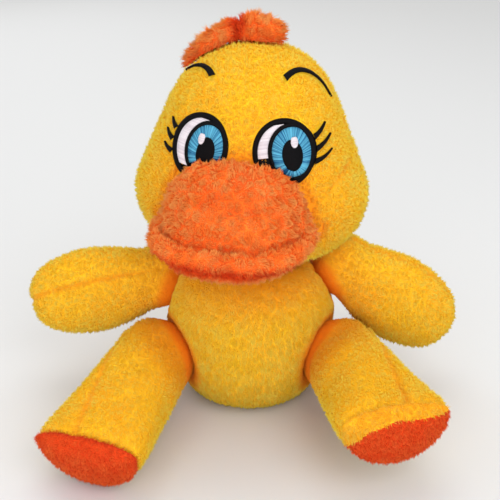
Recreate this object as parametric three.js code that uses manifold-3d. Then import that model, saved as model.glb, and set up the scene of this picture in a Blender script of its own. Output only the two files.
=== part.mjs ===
// A sitting plush duckling: stuffed body, head, arms and legs of short-pile fabric, a broad soft bill,
// a two-lobed crest on the crown and embroidered eyes.
// Millimetres, +Z up. The toy faces -Y and its own left is +X. The origin is the middle of its flat seat.
import * as THREE from 'three';
import { mergeVertices } from 'three/addons/utils/BufferGeometryUtils.js';
import Module from 'manifold-3d';

const wasm = await Module();
wasm.setup();

// Fabric and the room between pieces
const FABRIC = 2.6; // backing and pile, as sewn
const GAP = 0.3; // between pieces that lie against each other
const SEAT_PLAY = 0.4; // round a limb's root in its hole

// Body: widest at the belly, flat where it sits
const BELLY_WIDTH = 100;
const BELLY_FRONT = 48;
const BELLY_BACK = 46;
const BELLY_LEVEL = 40;
const BELLY_SQUAT = 6; // how far the round of the belly would pass below the floor
const BELLY_FULLNESS = 2.3; // 2 is a plain ellipse, more is squarer
const BODY_TOP = 88;
const SHOULDER_FULLNESS = 3.4;
const BODY_SEAM = -4; // side seams, at the arm holes
const SEAT_SEAM = 28; // and where they reach the floor, behind the seat, which stays one piece
const PELLET_LEVEL = 16; // top of the pellet bag in the seat

// Neck: a firm wad that the body and head covers close round
const NECK_LEVEL = 86;
const NECK_WAD = 24;

// Head, measured up from the middle of the neck wad
const CHEEK_LEVEL = 44;
const CHEEK_WIDTH = 128;
const FACE_REACH = 54;
const NAPE_REACH = 52;
const CROWN_RISE = 77; // cheeks to crown
const JAW_DROP = 42; // cheeks to the underside
const JAW_FULLNESS = 2.3;
const HEAD_WAIST = 0.135; // how much the head draws in above the cheeks
const HEAD_SEAM = 0; // the seam over the crown, through the crest
const HEAD_TURN = -10; // how the head stands in the photo, degrees
const HEAD_TILT = 1.5;

// Upper bill, a cushion with a rolled lip that a line of stitches sets off
const BILL_WIDTH = 86;
const BILL_REACH = 55; // forward of its middle
const BILL_ROOT = 30; // back from its middle, until the face cuts it
const BILL_MIDDLE = 42; // its middle, forward of the neck
const BILL_LEVEL = 33; // the lip above the neck
const BILL_RISE = 40;
const BILL_SLOPE = 0.72; // half is a round dome, one a plain slope
const BILL_CROWN = 3.4; // more keeps the top broad for longer
const LIP_WIDTH = 9; // at the front
const LIP_SIDE = 3; // and where it runs out at the sides
const LIP_RISE = 8;
const LIP_CLEAR = 0.87; // the filling keeps this share of the dome's foot, clear of the lip's stitches
const BILL_BLUNT = 2.7; // 2 is an ellipse in plan, more is squarer
const BILL_EASE = 0.9; // the bill's filling lies looser than the rest

// Lower bill, flatter and a little shorter
const LOWER_BILL_WIDTH = 74;
const LOWER_BILL_REACH = 54;
const LOWER_BILL_THICK = 12;

// Crest lobes: half sizes, where each is sewn to the crown and how it leans
const FRONT_LOBE_HALF = [14, 9, 14];
const FRONT_LOBE_AT = [0, 4, 121];
const FRONT_LOBE_LEAN = 8;
const SIDE_LOBE_HALF = [21, 12, 7];
const SIDE_LOBE_AT = [-23, 4, 116];
const SIDE_LOBE_LEAN = -42;

// Arms, measured from the middle of the shoulder root
const ARM_OUT = 53;
const ARM_FORE = 5.5;
const RIGHT_ARM_LEVEL = 68.5;
const LEFT_ARM_LEVEL = 76.5;
const ARM_ROOT = 18.5;
const ARM_LENGTH = 75;
const ARM_HEIGHT = 54.5;
const ARM_DEPTH = 36;
const ARM_BLUNT = 3.2;
const RIGHT_ARM_DROP = 11; // degrees below level
const LEFT_ARM_DROP = 32.5;
const ARM_FORWARD = 4; // degrees toward the front
const ARM_SWELL = 0.55; // share of its length over which it fills out
const RIGHT_ARM_SEAM = 50; // where the front seam lies, degrees up from the front
const LEFT_ARM_SEAM = 5;

// Legs, measured from the middle of the hip root
const LEFT_LEG_OUT = 52.3;
const RIGHT_LEG_OUT = 54.2;
const LEG_FORE = -23.5;
const LEG_LEVEL = 30.5;
const LEG_ROOT = 23.5;
const LEG_LENGTH = 83;
const LEG_CALF = 49.5;
const FOOT_WIDTH = 58;
const FOOT_HEIGHT = 55; // before its top is flattened
const LEG_FLAT = 0.3; // share of its round that the top of the leg keeps
const RIGHT_LEG_SPLAY = 19; // degrees outward from straight ahead
const LEFT_LEG_SPLAY = 13.4;
const RIGHT_LEG_DROP = 1.5; // degrees below level
const LEFT_LEG_DROP = -11;
const SHIN_END = 0.45; // share of the length where the shin is full
const FOOT_START = 0.4; // and where it starts to widen to the foot
const LEG_SEAM = 42; // degrees from upright, so that the top seam lies toward the outside
const SOLE_TILT = 14; // how far the sole turns under
const SOLE_BULGE = 9;
const SOLE_EDGE = 1.6;

// Limb roots: where the leg or arm leaves its round root, and where the root is left open for filling
const ROOT_LEAVE = 20; // degrees past its middle
const ROOT_POLE = -84;
const ROOT_OPEN = 0.8; // share of its radius

// Eyes, on the face, measured up from the neck
const LEFT_EYE_SPREAD = 22;
const RIGHT_EYE_SPREAD = 19.8;
const EYE_LEVEL = 76;
const EYE_WIDTH = 31;
const EYE_HEIGHT = 33;
const EYE_LEAN = 6; // tops lean together, degrees
const EYE_LINE = 2.6; // width of the black outline
const IRIS_WIDTH = 24;
const IRIS_HEIGHT = 28;
const IRIS_ASIDE = 4.2; // both eyes look to the toy's left
const IRIS_LINE = 2;
const PUPIL_WIDTH = 10.5;
const PUPIL_HEIGHT = 15.5;
const PUPIL_DROP = 1.5;
const GLINT_WIDTH = 3.8;
const GLINT_HEIGHT = 5.4;
const LEFT_GLINT_ASIDE = 1.6; // from the middle of the pupil
const RIGHT_GLINT_ASIDE = -3.6;
const GLINT_RISE = 6.2;
const THREAD_PAD = 0.9; // thickness of the embroidery
const THREAD_CUT = 2; // how far a cut through it runs past either face
const THREAD_KEEP = 3; // and how far the part that such a cut leaves does

// Lashes and brows
const LASH_WIDTH = 2.4;
const LASH_BEND = 20; // degrees to either side of its aim
// each lash's root and aim, degrees round the eye, and its length
const LASHES = [['upper', 22, 50, 8], ['middle', 2, 42, 9], ['lower', -18, 28, 9.5]];
const LEFT_LASH_SHARE = 1;
const RIGHT_LASH_SHARE = 0.7; // of that length
const BROW_SPREAD = 25;
const BROW_LEVEL = 106.5;
const BROW_INNER = 10; // inward from its middle
const BROW_DIP = 1.5; // how far its inner end lies below its middle
const LEFT_BROW_OUTER = 13; // outward from it
const RIGHT_BROW_OUTER = 8;
const LEFT_BROW_FALL = 13; // and how far its outer end does
const RIGHT_BROW_FALL = 2.5;
const BROW_WIDTH = 3.4;
const BROW_ARCH = 5;

const ROUND = 28; // sides of the large forms
const LIMB_ROUND = 18;
const FILL_ROUND = 16; // sides of what lies inside a cover
const PAD_ROUND = 16;
const HOLE_ROUND = 20;
const ROOT_STEPS = 6;
const POLE = 84; // degrees up or down a round to where it is closed
const FAR = 400; // larger than the toy, for cutting tools

function material(color, roughness) {
  return new THREE.MeshStandardMaterial({ color, roughness, metalness: 0 });
}
const yellowPile = material(0xf2b92e, 0.95);
const orangePile = material(0xee6a28, 0.95);
const solePile = material(0xdd4a1e, 0.95);
const fibre = material(0xf4f1ea, 1);
const pelletCloth = material(0xd9d3c6, 0.9);
const blackThread = material(0x0c0a10, 0.6);
const whiteThread = material(0xefe8f0, 0.6);
const blueThread = material(0x4aa6d0, 0.5);

const radians = THREE.MathUtils.degToRad;
const mix = THREE.MathUtils.lerp;
const smooth = (from, to, at) => THREE.MathUtils.smoothstep(at, from, to);
const point = (x, y, z) => new THREE.Vector3(x, y, z);

// Closed body of a triangle list, turned so that its faces point out.
function solidOf(positions, triangles) {
  const vertProperties = new Float32Array(positions.flatMap((p) => [p.x, p.y, p.z]));
  const build = (list) => new wasm.Manifold(new wasm.Mesh({
    numProp: 3,
    vertProperties,
    triVerts: new Uint32Array(list.flat()),
  }));
  const made = build(triangles);
  return made.volume() < 0 ? build(triangles.map(([a, b, c]) => [a, c, b])) : made;
}

// Body through rings of equal point count, each end closed to the middle of its ring.
function loft(rings) {
  const sides = rings[0].length;
  const middle = (ring) => ring.reduce((sum, p) => sum.add(p), point(0, 0, 0)).divideScalar(sides);
  const last = rings.length - 1;
  const positions = [...rings.flat(), middle(rings[0]), middle(rings[last])];
  const first = sides * rings.length;
  const triangles = [];
  for (let i = 0; i < sides; i++) {
    const j = (i + 1) % sides;
    triangles.push([first, j, i]);
    triangles.push([first + 1, last * sides + i, last * sides + j]);
    for (let r = 0; r < last; r++) {
      const a = r * sides;
      const b = a + sides;
      triangles.push([a + i, a + j, b + j]);
      triangles.push([a + i, b + j, b + i]);
    }
  }
  return solidOf(positions, triangles);
}

function solidFrom(geometry) {
  geometry.deleteAttribute('normal');
  geometry.deleteAttribute('uv');
  const merged = mergeVertices(geometry);
  const at = merged.attributes.position;
  const list = (length, make) => Array.from({ length }, (unused, i) => make(i));
  const positions = list(at.count, (i) => point(at.getX(i), at.getY(i), at.getZ(i)));
  const index = merged.index.array;
  const triangles = list(index.length / 3, (i) => [...index.slice(3 * i, 3 * i + 3)]);
  return solidOf(positions, triangles.filter(([a, b, c]) => a !== b && b !== c && c !== a));
}

// Round hole whose flats stand off at least the given radius from its middle
function roundHole(radius, at) {
  const wide = radius / Math.cos(Math.PI / HOLE_ROUND) ** 2;
  return solidFrom(new THREE.SphereGeometry(wide, HOLE_ROUND, HOLE_ROUND / 2).translate(at.x, at.y, at.z));
}

// Cutting block that fills everything on one side of a plane through a point.
function halfSpace(at, normal) {
  const turn = new THREE.Quaternion().setFromUnitVectors(point(0, 0, 1), normal.clone().normalize());
  const block = new THREE.BoxGeometry(FAR, FAR, FAR).translate(0, 0, FAR / 2).applyQuaternion(turn);
  return solidFrom(block.translate(at.x, at.y, at.z));
}

// The two sides of a form along a seam, half a gap back from it on either hand.
function seamHalves(form, at, normal) {
  const n = normal.clone().normalize();
  const ahead = at.clone().addScaledVector(n, -GAP / 2);
  const behind = at.clone().addScaledVector(n, GAP / 2);
  return [form.subtract(halfSpace(behind, n.clone().negate())), form.subtract(halfSpace(ahead, n))];
}

function meshOf(name, solid, finish) {
  const mesh = solid.getMesh();
  const geometry = new THREE.BufferGeometry();
  geometry.setAttribute('position', new THREE.BufferAttribute(new Float32Array(mesh.vertProperties), 3));
  geometry.setIndex(new THREE.BufferAttribute(new Uint32Array(mesh.triVerts), 1));
  geometry.computeVertexNormals();
  const made = new THREE.Mesh(geometry, finish);
  made.name = name;
  return made;
}

// Ring across the Z axis with its own half size to each side.
function ringAt(level, half, front, back, sides) {
  return Array.from({ length: sides }, (unused, i) => {
    const a = 2 * Math.PI * i / sides;
    const across = Math.sin(a);
    return point(half * Math.cos(a), across * (across < 0 ? front : back), level);
  });
}

// Stuffed egg: widest at its own level, closing upward and downward along a quarter round each.
function egg(form, inset, sides, steps) {
  const up = form.up - inset;
  const down = form.down - inset;
  const floor = form.floor === undefined ? -form.down : form.floor + inset - form.level;
  const start = -Math.min(radians(POLE), Math.asin(Math.min(1, (-floor / down) ** (form.lowFull / 2))));
  const end = radians(POLE);
  const rings = Array.from({ length: steps + 1 }, (unused, i) => {
    const a = start + (end - start) * i / steps;
    const power = 2 / (a < 0 ? form.lowFull : form.highFull);
    const rise = Math.sign(a) * Math.abs(Math.sin(a)) ** power * (a < 0 ? down : up);
    const draw = a > 0 ? 1 - form.waist * Math.sin(Math.PI * rise / up) : 1;
    const wide = Math.cos(a) ** power * draw;
    const depth = Math.cos(a) ** power * (1 + (draw - 1) / 3);
    const reach = (size) => (size - inset) * depth;
    return ringAt(form.level + rise, (form.half - inset) * wide, reach(form.front), reach(form.back), sides);
  });
  return loft(rings);
}

const bodyForm = {
  level: BELLY_LEVEL,
  half: BELLY_WIDTH / 2,
  front: BELLY_FRONT,
  back: BELLY_BACK,
  up: BODY_TOP - BELLY_LEVEL,
  down: BELLY_LEVEL + BELLY_SQUAT,
  floor: 0,
  lowFull: BELLY_FULLNESS,
  highFull: SHOULDER_FULLNESS,
  waist: 0,
};

const headForm = {
  level: CHEEK_LEVEL,
  half: CHEEK_WIDTH / 2,
  front: FACE_REACH,
  back: NAPE_REACH,
  up: CROWN_RISE,
  down: JAW_DROP,
  lowFull: JAW_FULLNESS,
  highFull: 2,
  waist: HEAD_WAIST,
};

const toy = new THREE.Group();
toy.name = 'plush_duckling';

// Limb holes, the same round as the root that turns in each
const neckAt = point(0, 0, NECK_LEVEL);
const armAt = (side) => point(side * ARM_OUT, ARM_FORE, side > 0 ? LEFT_ARM_LEVEL : RIGHT_ARM_LEVEL);
const legAt = (side) => point(side > 0 ? LEFT_LEG_OUT : -RIGHT_LEG_OUT, LEG_FORE, LEG_LEVEL);
const limbHoles = [
  roundHole(NECK_WAD + SEAT_PLAY, neckAt),
  roundHole(ARM_ROOT + SEAT_PLAY, armAt(1)),
  roundHole(ARM_ROOT + SEAT_PLAY, armAt(-1)),
  roundHole(LEG_ROOT + SEAT_PLAY, legAt(1)),
  roundHole(LEG_ROOT + SEAT_PLAY, legAt(-1)),
];
const withHoles = (form) => limbHoles.reduce((left, hole) => left.subtract(hole), form);

// Body: a front panel and two back panels, with the pellet bag under the stuffing
{
  const cover = withHoles(egg(bodyForm, 0, ROUND, 12).subtract(egg(bodyForm, FABRIC, FILL_ROUND, 8)));
  const lean = point(0, RIGHT_ARM_LEVEL, SEAT_SEAM - BODY_SEAM);
  const [back, front] = seamHalves(cover, point(0, BODY_SEAM, RIGHT_ARM_LEVEL), lean);
  const [backLeft, backRight] = seamHalves(back, point(0, 0, 0), point(1, 0, 0));
  const filling = withHoles(egg(bodyForm, FABRIC + GAP, FILL_ROUND, 8));
  const [stuffing, pellets] = seamHalves(filling, point(0, 0, PELLET_LEVEL), point(0, 0, 1));
  toy.add(meshOf('body_front_panel', front, yellowPile));
  toy.add(meshOf('body_back_left_panel', backLeft, yellowPile));
  toy.add(meshOf('body_back_right_panel', backRight, yellowPile));
  toy.add(meshOf('body_stuffing', stuffing, fibre));
  toy.add(meshOf('seat_pellet_bag', pellets, pelletCloth));
}

toy.add(meshOf('neck_wad', solidFrom(
  new THREE.SphereGeometry(NECK_WAD, FILL_ROUND, 10).translate(neckAt.x, neckAt.y, neckAt.z),
), fibre));

// Head group: its origin is the middle of the neck wad
const head = new THREE.Group();
head.name = 'head';
head.position.copy(neckAt);
head.rotation.set(0, radians(HEAD_TILT), radians(HEAD_TURN), 'ZYX');
toy.add(head);

const neckHole = roundHole(NECK_WAD + SEAT_PLAY, point(0, 0, 0));
const headOuter = egg(headForm, 0, ROUND, 16);
const headRoom = egg(headForm, -GAP, ROUND, 16);
{
  const cover = headOuter.subtract(egg(headForm, FABRIC, FILL_ROUND, 9)).subtract(neckHole);
  const [back, face] = seamHalves(cover, point(0, HEAD_SEAM, 0), point(0, 1, 0));
  const [backLeft, backRight] = seamHalves(back, point(0, 0, 0), point(1, 0, 0));
  head.add(meshOf('head_face_panel', face, yellowPile));
  head.add(meshOf('head_back_left_panel', backLeft, yellowPile));
  head.add(meshOf('head_back_right_panel', backRight, yellowPile));
  head.add(meshOf('head_stuffing', egg(headForm, FABRIC + GAP, FILL_ROUND, 9).subtract(neckHole), fibre));
}

// Cushion over a blunt plan outline, from rings that go out over the top and in again below.
// Each ring is given, for how far round to the front it is, its share of the outline and its height.
function cushion(plan, inset, sides, rings) {
  const power = 2 / plan.blunt;
  const bend = (value) => Math.sign(value) * Math.abs(value) ** power;
  return loft(rings.map((ring) => Array.from({ length: sides }, (unused, i) => {
    const across = bend(Math.cos(2 * Math.PI * i / sides));
    const along = bend(Math.sin(2 * Math.PI * i / sides));
    const [share, height] = ring(Math.max(0, -along));
    const reach = (along < 0 ? plan.front : plan.back) - inset;
    return point((plan.half - inset) * across * share, plan.middle + reach * along * share, height);
  })));
}

// Bill: the upper cushion with its rolled lip, its stuffing and the flatter lower bill
const billPlan = {
  half: BILL_WIDTH / 2,
  front: BILL_REACH,
  back: BILL_ROOT,
  middle: -BILL_MIDDLE,
  blunt: BILL_BLUNT,
};
const lipFoot = BILL_LEVEL + LIP_RISE / 2;
const billDome = BILL_LEVEL + BILL_RISE - lipFoot;
const billCrown = (share) => billDome * Math.max(0, 1 - share ** BILL_CROWN) ** BILL_SLOPE;
const lipStart = (front) => 1 - mix(LIP_SIDE, LIP_WIDTH, smooth(0, 0.9, front)) / (BILL_WIDTH / 2);
function upperBill(grow) {
  const over = [0.15, 0.4, 0.6, 0.78, 0.92].map((share) => (front) => [
    share * lipStart(front),
    lipFoot + billCrown(share) + grow,
  ]);
  const lip = [[0, 0], [0.3, 0.8], [0.6, 1], [0.9, 0.5], [1, 0]].map(([share, rise]) => (front) => [
    mix(lipStart(front), 1, share),
    lipFoot + rise * LIP_RISE / 2 * smooth(0, 0.5, front) + grow,
  ]);
  const below = [0.98, 0.5].map((share) => () => [share, BILL_LEVEL - grow]);
  return cushion(billPlan, -grow, ROUND, [...over, ...lip, ...below]);
}
const billRoom = upperBill(GAP);
{
  const inside = (inset) => {
    const over = [0.2, 0.5, 0.75].map((share) => (front) => [
      share * lipStart(front),
      lipFoot + billCrown(share) - inset,
    ]);
    const foot = [lipFoot - LIP_RISE / 4, BILL_LEVEL + inset].map((height) => (front) => [
      lipStart(front) * LIP_CLEAR,
      height,
    ]);
    return cushion(billPlan, inset, ROUND, [...over, ...foot]);
  };
  head.add(meshOf('upper_bill_cover', upperBill(0).subtract(inside(FABRIC)).subtract(headRoom), orangePile));
  head.add(meshOf('bill_stuffing', inside(FABRIC + BILL_EASE).subtract(headRoom), fibre));

  const lowerPlan = { ...billPlan, half: LOWER_BILL_WIDTH / 2, front: LOWER_BILL_REACH };
  const lowerTop = BILL_LEVEL - GAP;
  const belly = (share) => lowerTop - LOWER_BILL_THICK * Math.sqrt(1 - share ** 2);
  const below = [0.97, 0.8, 0.4].map((share) => () => [share, belly(share)]);
  const lower = cushion(lowerPlan, 0, LIMB_ROUND, [() => [0.5, lowerTop], () => [1, lowerTop], ...below]);
  head.add(meshOf('lower_bill', lower.subtract(headRoom), orangePile));
}

// Crest: two lobes sewn into the crown seam
{
  const lobe = (half, at, lean) => {
    const ball = new THREE.SphereGeometry(1, FILL_ROUND, 10).scale(...half);
    return solidFrom(ball.rotateY(radians(lean)).translate(...at));
  };
  const front = lobe(FRONT_LOBE_HALF, FRONT_LOBE_AT, FRONT_LOBE_LEAN).subtract(headRoom);
  const frontRoom = lobe(FRONT_LOBE_HALF.map((size) => size + GAP), FRONT_LOBE_AT, FRONT_LOBE_LEAN);
  const side = lobe(SIDE_LOBE_HALF, SIDE_LOBE_AT, SIDE_LOBE_LEAN).subtract(headRoom).subtract(frontRoom);
  head.add(meshOf('crest_front_lobe', front, orangePile));
  head.add(meshOf('crest_side_lobe', side, orangePile));
}

// Face surface at a place across and up, in the head's own frame
function facePoint(x, z) {
  const rise = (z - CHEEK_LEVEL) / CROWN_RISE;
  const close = Math.sqrt(Math.max(0, 1 - rise ** 2));
  const draw = 1 - HEAD_WAIST * Math.sin(Math.PI * rise);
  const aside = x / (CHEEK_WIDTH / 2 * close * draw);
  return point(x, -FACE_REACH * close * (1 + (draw - 1) / 3) * Math.sqrt(Math.max(0, 1 - aside ** 2)), z);
}

// Place on the face with its outward direction and the two directions along the fabric
function faceFrame(x, z) {
  const step = 0.5;
  const across = facePoint(x + step, z).sub(facePoint(x - step, z)).normalize();
  const up = facePoint(x, z + step).sub(facePoint(x, z - step)).normalize();
  const out = across.clone().cross(up).normalize();
  const level = point(-out.y, out.x, 0).normalize();
  return { x, z, out, level, rising: out.clone().cross(level) };
}

// A point of a drawing laid on the face: right and up on the fabric, and how far it stands off.
function onFace(frame, right, up, lift) {
  const x = frame.x + right * frame.level.x + up * frame.rising.x;
  const z = frame.z + right * frame.level.z + up * frame.rising.z;
  return facePoint(x, z).addScaledVector(faceFrame(x, z).out, lift);
}

// Oval pad of thread laid on the face
function pad(frame, oval, grow, low, high) {
  const lean = radians(oval.lean);
  const ringOf = (share, lift) => Array.from({ length: PAD_ROUND }, (unused, i) => {
    const a = 2 * Math.PI * i / PAD_ROUND;
    const wide = oval.right + (oval.width / 2 + grow) * share * Math.cos(a);
    const tall = oval.up + (oval.height / 2 + grow) * share * Math.sin(a);
    const right = wide * Math.cos(lean) - tall * Math.sin(lean);
    return onFace(frame, right, wide * Math.sin(lean) + tall * Math.cos(lean), lift);
  });
  return loft([ringOf(0.5, high), ringOf(1, high), ringOf(1, low), ringOf(0.5, low)]);
}

// Tapered run of thread along a curve on the face
function strand(frame, curve, startWidth, endWidth, steps) {
  const rings = Array.from({ length: steps + 1 }, (unused, i) => {
    const t = i / steps;
    const at = curve.getPoint(t);
    const along = curve.getTangent(t);
    const half = (startWidth + (endWidth - startWidth) * t) / 2;
    const aside = point(-along.y * half, along.x * half, 0);
    const edge = (side, lift) => onFace(frame, at.x + side * aside.x, at.y + side * aside.y, lift);
    return [edge(1, GAP), edge(-1, GAP), edge(-1, GAP + THREAD_PAD), edge(1, GAP + THREAD_PAD)];
  });
  return loft(rings);
}

// Eyes, lashes and brows
for (const [label, side, spread, aside, share, outer, fall] of [
  ['left', 1, LEFT_EYE_SPREAD, LEFT_GLINT_ASIDE, LEFT_LASH_SHARE, LEFT_BROW_OUTER, LEFT_BROW_FALL],
  ['right', -1, RIGHT_EYE_SPREAD, RIGHT_GLINT_ASIDE, RIGHT_LASH_SHARE, RIGHT_BROW_OUTER, RIGHT_BROW_FALL],
]) {
  const frame = faceFrame(side * spread, EYE_LEVEL);
  const oval = (width, height, right, up) => ({ width, height, right, up, lean: side * EYE_LEAN });
  const eye = oval(EYE_WIDTH, EYE_HEIGHT, 0, 0);
  const inner = oval(EYE_WIDTH - 2 * EYE_LINE, EYE_HEIGHT - 2 * EYE_LINE, 0, 0);
  const rim = oval(IRIS_WIDTH, IRIS_HEIGHT, IRIS_ASIDE, 0);
  const iris = oval(IRIS_WIDTH - 2 * IRIS_LINE, IRIS_HEIGHT - 2 * IRIS_LINE, IRIS_ASIDE, 0);
  const pupil = oval(PUPIL_WIDTH, PUPIL_HEIGHT, IRIS_ASIDE, -PUPIL_DROP);
  const glint = oval(GLINT_WIDTH, GLINT_HEIGHT, IRIS_ASIDE + aside, GLINT_RISE - PUPIL_DROP);
  const laid = (form) => pad(frame, form, -GAP / 2, GAP, GAP + THREAD_PAD).subtract(billRoom);
  const deep = GAP + THREAD_PAD + THREAD_CUT;
  const room = (form) => pad(frame, form, GAP / 2, -THREAD_CUT, deep);
  const past = GAP + THREAD_PAD + THREAD_KEEP;
  const whiteRoom = room(inner).subtract(pad(frame, rim, -GAP / 2, -THREAD_KEEP, past));
  head.add(meshOf(`${label}_eye_outline`, laid(eye).subtract(whiteRoom).subtract(room(iris)), blackThread));
  head.add(meshOf(`${label}_eye_white`, laid(inner).subtract(room(rim)), whiteThread));
  head.add(meshOf(`${label}_eye_iris`, laid(iris).subtract(room(pupil)).subtract(room(glint)), blueThread));
  head.add(meshOf(`${label}_eye_pupil`, laid(pupil).subtract(room(glint)), blackThread));
  head.add(meshOf(`${label}_eye_glint`, laid(glint), whiteThread));

  LASHES.forEach(([place, root, aim, length]) => {
    const from = new THREE.Vector2(
      side * (EYE_WIDTH / 2 + GAP) * Math.cos(radians(root)),
      (EYE_HEIGHT / 2 + GAP) * Math.sin(radians(root)),
    ).rotateAround(new THREE.Vector2(), radians(side * EYE_LEAN));
    const way = (angle) => new THREE.Vector2(side * Math.cos(radians(angle)), Math.sin(radians(angle)));
    const bend = from.clone().addScaledVector(way(aim - LASH_BEND), length * share / 2);
    const tip = bend.clone().addScaledVector(way(aim + LASH_BEND), length * share / 2);
    const curve = new THREE.QuadraticBezierCurve(from, bend, tip);
    const lash = strand(frame, curve, LASH_WIDTH, LASH_WIDTH / 3, 5);
    head.add(meshOf(`${label}_lash_${place}`, lash, blackThread));
  });

  const browFrame = faceFrame(side * BROW_SPREAD, BROW_LEVEL);
  const brow = new THREE.QuadraticBezierCurve(
    new THREE.Vector2(-side * BROW_INNER, -BROW_DIP),
    new THREE.Vector2(0, BROW_ARCH * 2),
    new THREE.Vector2(side * outer, -fall),
  );
  head.add(meshOf(`${label}_brow`, strand(browFrame, brow, BROW_WIDTH, BROW_WIDTH / 3, 9), blackThread));
}

// Ring of a limb with its own height above and below the middle.
function limbRing(level, above, below, wide, sides) {
  return Array.from({ length: sides }, (unused, i) => {
    const a = 2 * Math.PI * i / sides;
    const rise = Math.cos(a);
    return point(rise * (rise < 0 ? below : above), wide * Math.sin(a), level);
  });
}

// Limb along its own Z axis: a round root about its origin, then its profile to the far end.
// Its own X is up across the limb and its own Y is to the side.
function limb(root, length, profile, inset, sides, steps) {
  const ball = root - inset;
  const leave = radians(ROOT_LEAVE);
  const pole = radians(ROOT_POLE);
  const rings = [];
  for (let i = 0; i <= ROOT_STEPS; i++) {
    const a = mix(pole, leave, i / ROOT_STEPS);
    const r = ball * Math.cos(a);
    rings.push(ringAt(ball * Math.sin(a), r, r, r, sides));
  }
  const start = root * Math.sin(leave);
  const reach = length - inset;
  for (let i = 1; i <= steps; i++) {
    const along = start + (reach - start) * Math.sin(Math.PI / 2 * i / steps);
    const sizes = profile(along * length / reach, root * Math.cos(leave));
    const [above, below, wide] = sizes.map((size) => Math.max(size - inset, 1));
    rings.push(limbRing(along, above, below, wide, sides));
  }
  return loft(rings);
}

// Open a limb's cover at the root, where it is filled, and part it along its seams.
function limbPanels(cover, root, seam) {
  const open = cover.subtract(halfSpace(point(0, 0, -ROOT_OPEN * root), point(0, 0, -1)));
  return seamHalves(open, point(0, 0, 0), point(Math.cos(seam), Math.sin(seam), 0));
}

// Frame of a limb: its own Z runs along it and its own X stays as upright as it can.
function limbGroup(name, at, along) {
  const forward = along.clone().normalize();
  const aside = point(0, 0, 1).cross(forward).normalize();
  const upright = forward.clone().cross(aside).negate();
  const group = new THREE.Group();
  group.name = name;
  group.quaternion.setFromRotationMatrix(
    new THREE.Matrix4().makeBasis(upright.negate(), aside.clone().negate(), forward),
  );
  group.position.copy(at);
  toy.add(group);
  return group;
}

// Arms: a front and a back panel each
for (const [label, side, drop, seam] of [
  ['left', 1, LEFT_ARM_DROP, LEFT_ARM_SEAM],
  ['right', -1, RIGHT_ARM_DROP, RIGHT_ARM_SEAM],
]) {
  const fore = radians(ARM_FORWARD);
  const along = point(side * Math.cos(fore), -Math.sin(fore), 0).multiplyScalar(Math.cos(radians(drop)));
  const arm = limbGroup(`${label}_arm`, armAt(side), along.setZ(-Math.sin(radians(drop))));
  const profile = (at, root) => {
    const swell = smooth(0, ARM_LENGTH * ARM_SWELL, at);
    const close = Math.max(0, 1 - (at / ARM_LENGTH) ** ARM_BLUNT) ** (1 / ARM_BLUNT);
    const tall = mix(root, ARM_HEIGHT / 2, swell) * close;
    return [tall, tall, mix(root, ARM_DEPTH / 2, swell) * close];
  };
  const form = (inset, steps) => limb(ARM_ROOT, ARM_LENGTH, profile, inset, LIMB_ROUND, steps);
  const panels = limbPanels(form(0, 8).subtract(form(FABRIC, 5)), ARM_ROOT, radians(90 - seam) * -side);
  arm.add(meshOf(`${label}_arm_front_panel`, panels[side > 0 ? 1 : 0], yellowPile));
  arm.add(meshOf(`${label}_arm_back_panel`, panels[side > 0 ? 0 : 1], yellowPile));
  arm.add(meshOf(`${label}_arm_stuffing`, form(FABRIC + GAP, 5), fibre));
}

// Legs: an inner and an outer panel each, closed at the foot by the sole
for (const [label, side, splay, drop] of [
  ['left', 1, LEFT_LEG_SPLAY, LEFT_LEG_DROP],
  ['right', -1, RIGHT_LEG_SPLAY, RIGHT_LEG_DROP],
]) {
  const turn = radians(splay);
  const along = point(side * Math.sin(turn), -Math.cos(turn), 0).multiplyScalar(Math.cos(radians(drop)));
  const leg = limbGroup(`${label}_leg`, legAt(side), along.setZ(-Math.sin(radians(drop))));
  const tilt = radians(SOLE_TILT);
  const overhang = FOOT_HEIGHT / 2 * Math.tan(tilt) + 2 * FABRIC;
  const profile = (at, root) => {
    const shin = mix(root, LEG_CALF / 2, smooth(0, LEG_LENGTH * SHIN_END, at));
    const foot = smooth(LEG_LENGTH * FOOT_START, LEG_LENGTH, at);
    const tall = mix(shin, FOOT_HEIGHT / 2, foot);
    const flat = mix(1, LEG_FLAT, smooth(0, LEG_LENGTH, at));
    return [tall * flat, tall, mix(shin, FOOT_WIDTH / 2, foot)];
  };
  const form = (inset, steps) => limb(LEG_ROOT, LEG_LENGTH + overhang, profile, inset, LIMB_ROUND, steps);
  const sole = point(-Math.sin(tilt), 0, Math.cos(tilt));
  const end = halfSpace(point(0, 0, LEG_LENGTH), sole);
  const cover = form(0, 7).subtract(form(FABRIC, 4)).subtract(end);
  const [one, other] = limbPanels(cover, LEG_ROOT, radians(90 - side * LEG_SEAM));
  leg.add(meshOf(`${label}_leg_inner_panel`, side > 0 ? one : other, yellowPile));
  leg.add(meshOf(`${label}_leg_outer_panel`, side > 0 ? other : one, yellowPile));
  leg.add(meshOf(`${label}_leg_stuffing`, form(FABRIC + GAP, 4).subtract(end), fibre));

  const tall = FOOT_HEIGHT / 2 / Math.cos(tilt);
  const plan = { half: FOOT_WIDTH / 2, front: tall * LEG_FLAT, back: tall, middle: 0, blunt: 2 };
  const swell = (share) => GAP + SOLE_EDGE + SOLE_BULGE * (1 - share ** 2);
  const outside = [0.4, 0.75, 1].map((share) => () => [share, swell(share)]);
  const pad = cushion(plan, 0, LIMB_ROUND, [...outside, () => [0.97, GAP], () => [0.5, GAP]]);
  const made = meshOf(`${label}_sole`, pad, solePile);
  made.quaternion.setFromRotationMatrix(
    new THREE.Matrix4().makeBasis(point(0, 1, 0), sole.clone().cross(point(0, 1, 0)), sole),
  );
  made.position.set(0, 0, LEG_LENGTH);
  leg.add(made);
}

export default toy;
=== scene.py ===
import math
from functools import reduce

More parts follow.
